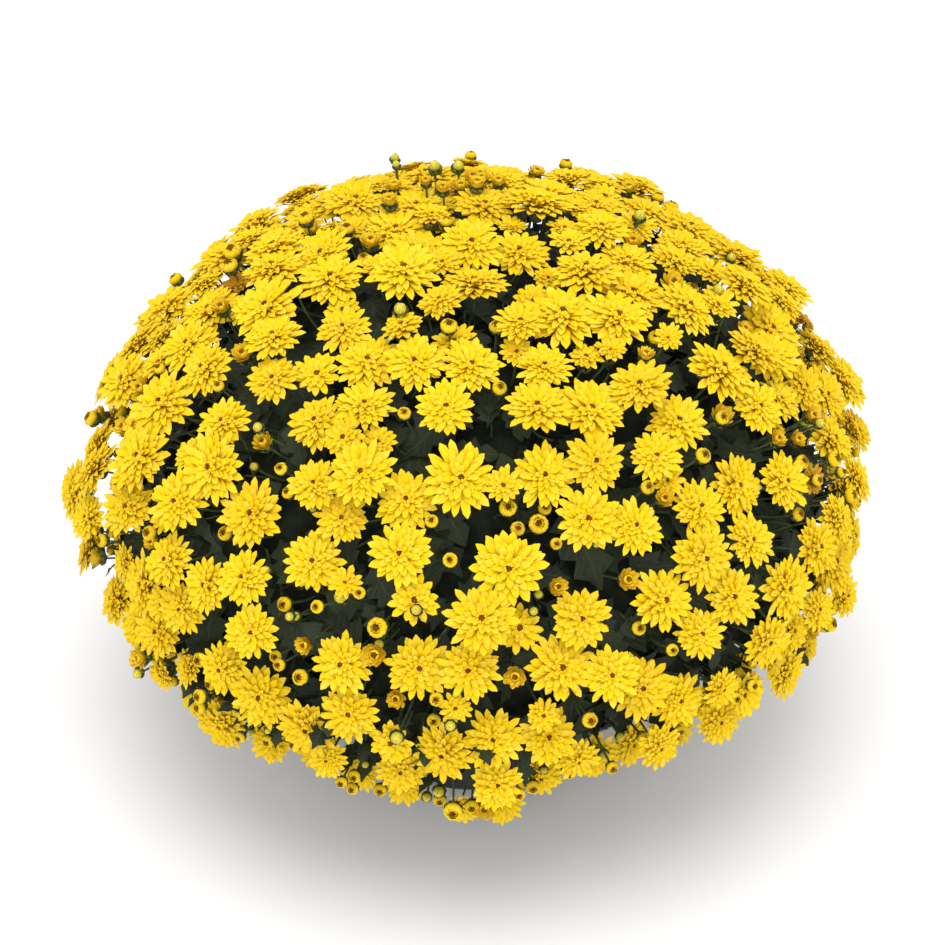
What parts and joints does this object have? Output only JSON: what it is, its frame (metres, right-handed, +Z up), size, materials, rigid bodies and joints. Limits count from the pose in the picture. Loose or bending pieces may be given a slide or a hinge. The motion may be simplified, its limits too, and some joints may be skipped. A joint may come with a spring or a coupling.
{
  "type": "potted chrysanthemum",
  "caption": "Dome-shaped garden chrysanthemum in full yellow bloom, with lobed leaves and buds, growing in a plain round nursery pot.",
  "frame": {"origin": "centre of the pot's flat underside", "axes": "+Z up; +X to the right and +Y away from the viewer who sees the plant as in the picture"},
  "size_m": [0.4546, 0.4604, 0.3569],
  "materials": {
    "pot_plastic": "dark grey-green injection-moulded plastic, slightly satin",
    "soil": "damp potting mix of peat and bark",
    "leaf": "dark green matt leaves and stems",
    "petal": "warm yellow matt petals"
  },
  "bodies": {
    "root": {"pot": "pot_plastic", "soil": "soil", "branch_01": "leaf", "branch_02": "leaf", "branch_03": "leaf", "branch_04": "leaf", "branch_05": "leaf", "branch_06": "leaf", "branch_07": "leaf", "branch_08": "leaf", "branch_09": "leaf", "branch_10": "leaf", "branch_11": "leaf", "branch_12": "leaf", "branch_13": "leaf", "branch_14": "leaf", "spray_01": "petal", "spray_02": "petal", "spray_03": "petal", "spray_04": "petal", "spray_05": "petal", "spray_06": "petal", "spray_07": "petal", "spray_08": "petal", "spray_09": "petal", "spray_10": "petal", "spray_11": "petal", "spray_12": "petal", "spray_13": "petal", "spray_14": "petal", "spray_15": "petal", "spray_16": "petal", "spray_17": "petal", "spray_18": "petal", "spray_19": "petal", "spray_20": "petal", "spray_21": "petal", "spray_22": "petal", "spray_23": "petal", "spray_24": "petal", "spray_25": "petal", "spray_26": "petal", "spray_27": "petal", "spray_28": "petal", "spray_29": "petal", "spray_30": "petal", "spray_31": "petal", "spray_32": "petal", "spray_33": "petal", "spray_34": "petal", "spray_35": "petal", "spray_36": "petal", "spray_37": "petal", "spray_38": "petal", "spray_39": "petal", "spray_40": "petal", "spray_41": "petal", "spray_42": "petal", "spray_43": "petal", "spray_44": "petal"}
  },
  "joints": []
}
